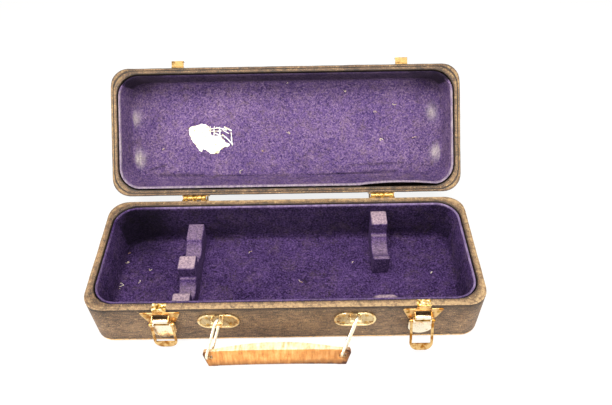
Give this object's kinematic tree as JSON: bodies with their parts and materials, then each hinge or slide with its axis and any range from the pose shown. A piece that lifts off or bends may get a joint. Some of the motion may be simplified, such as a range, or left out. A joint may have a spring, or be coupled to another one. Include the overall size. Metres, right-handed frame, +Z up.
{
  "type": "instrument case",
  "caption": "Small hinged hard case for a two-joint wind instrument, leatherette outside and velvet inside, with draw latches and a leather ring handle, shown open.",
  "frame": {"origin": "middle of the flat underside of the base", "axes": "+Z up out of the open base, +X along the case to the right, -Y out of the front with the latches and the handle"},
  "size_m": [0.35, 0.2759, 0.1481],
  "materials": {
    "leatherette": "grained cloth-backed leatherette on wood, worn pale on the edges",
    "velvet": "violet cotton velvet on card",
    "worn_velvet": "velvet rubbed pale on the cradle tops, over wood",
    "nickel": "worn nickel plate",
    "brass": "brass showing where the plate has gone",
    "leather": "tan saddle leather, darker at its lower edge",
    "leather_core": "pale cut leather edge"
  },
  "bodies": {
    "base": {"base_shell": "leatherette", "base_lining": "velvet", "left_cradle": "worn_velvet", "right_cradle": "worn_velvet", "front_rest": "worn_velvet", "latch_plate_left": "nickel", "latch_plate_right": "nickel", "lever_pin_left": "brass", "lever_pin_right": "brass", "latch_tacks": "brass", "handle_plate_left": "nickel", "handle_plate_right": "nickel", "handle_tacks": "brass", "base_leaf_left": "brass", "base_leaf_right": "brass", "hinge_pin_left": "nickel", "hinge_pin_right": "nickel", "base_leaf_tacks": "nickel"},
    "lid": {"lid_shell": "leatherette", "lid_lining": "velvet", "lid_leaf_left": "brass", "lid_leaf_right": "brass", "lid_leaf_tacks": "nickel", "catch_left": "nickel", "catch_right": "nickel", "catch_tacks": "brass"},
    "lever_left": {"latch_lever_left": "nickel", "loop_pin_left": "brass"},
    "lever_right": {"latch_lever_right": "nickel", "loop_pin_right": "brass"},
    "loop_left": {"latch_loop_left": "nickel"},
    "loop_right": {"latch_loop_right": "nickel"},
    "ring_left": {"handle_ring_left": "nickel"},
    "ring_right": {"handle_ring_right": "nickel"},
    "grip": {"grip_front": "leather", "grip_core": "leather_core", "grip_back": "leather"}
  },
  "joints": [
    {"name": "lid_hinge", "type": "hinge", "parent": "base", "child": "lid", "pos_m": [0, 0.0669, 0.05215], "axis": [1, 0, 0], "range_deg": [0, 135]},
    {"name": "lever_left_hinge", "type": "hinge", "parent": "base", "child": "lever_left", "pos_m": [-0.1075, -0.0682, 0.0395], "axis": [1, 0, 0], "range_deg": [-120, 0]},
    {"name": "lever_right_hinge", "type": "hinge", "parent": "base", "child": "lever_right", "pos_m": [0.1185, -0.0682, 0.0395], "axis": [1, 0, 0], "range_deg": [-120, 0]},
    {"name": "loop_left_hinge", "type": "hinge", "parent": "lever_left", "child": "loop_left", "pos_m": [-0.1075, -0.0676, 0.033], "axis": [-1, 0, 0], "range_deg": [-8, 172]},
    {"name": "loop_right_hinge", "type": "hinge", "parent": "lever_right", "child": "loop_right", "pos_m": [0.1185, -0.0676, 0.033], "axis": [-1, 0, 0], "range_deg": [-27, 153]},
    {"name": "ring_left_hinge", "type": "hinge", "parent": "base", "child": "ring_left", "pos_m": [-0.0585, -0.0716, 0.039], "axis": [1, 0, 0], "range_deg": [-120, 10]},
    {"name": "ring_right_hinge", "type": "hinge", "parent": "base", "child": "ring_right", "pos_m": [0.0605, -0.0716, 0.039], "axis": [1, 0, 0], "range_deg": [-120, 10]},
    {"name": "grip_hinge", "type": "hinge", "parent": "ring_left", "child": "grip", "pos_m": [-0.0665, -0.08524, 0.0155], "axis": [1, 0, 0], "range_deg": [-22, 22]}
  ],
  "couplings": [
    {"joint": "ring_right_hinge", "follows": "ring_left_hinge", "ratio": 1}
  ]
}
